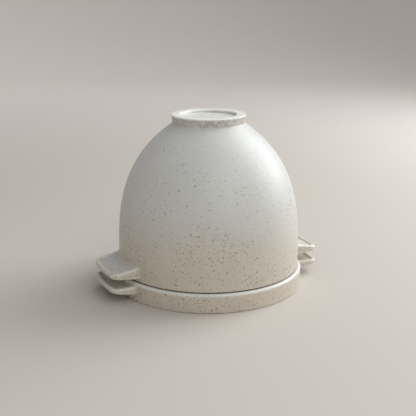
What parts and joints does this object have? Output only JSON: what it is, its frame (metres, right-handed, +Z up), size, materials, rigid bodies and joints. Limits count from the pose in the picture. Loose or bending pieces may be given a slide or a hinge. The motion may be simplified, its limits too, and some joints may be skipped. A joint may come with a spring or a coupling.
{
  "type": "stoneware bread bowl with baking dish",
  "caption": "Deep dome-shaped speckled stoneware bowl with a flared foot and lug handles, upside down as a cloche on a shallow round baking dish with matching handles.",
  "frame": {"origin": "on the turning axis, at the level of the surface that the dish stands on", "axes": "+Z up along the turning axis, +X from the axis through the middle of the right-hand handles"},
  "size_m": [0.2972, 0.244, 0.2227],
  "materials": {
    "bowl_glaze": "satin off-white stoneware glaze with fine brown speckles",
    "foot_glaze": "satin off-white glaze, densely speckled, paler on the standing face",
    "dish_glaze": "satin warm off-white stoneware glaze with fine brown speckles"
  },
  "bodies": {
    "dish": {"dish": "dish_glaze", "dish_handle_left": "dish_glaze", "dish_handle_right": "dish_glaze"},
    "bowl": {"bowl_wall": "bowl_glaze", "bowl_foot_ring": "foot_glaze", "bowl_handle_left": "bowl_glaze", "bowl_handle_right": "bowl_glaze"}
  },
  "joints": [
    {"name": "bowl_lift", "type": "slide", "parent": "dish", "child": "bowl", "axis": [0, 0, 1], "range_m": [0, 0.25]}
  ]
}
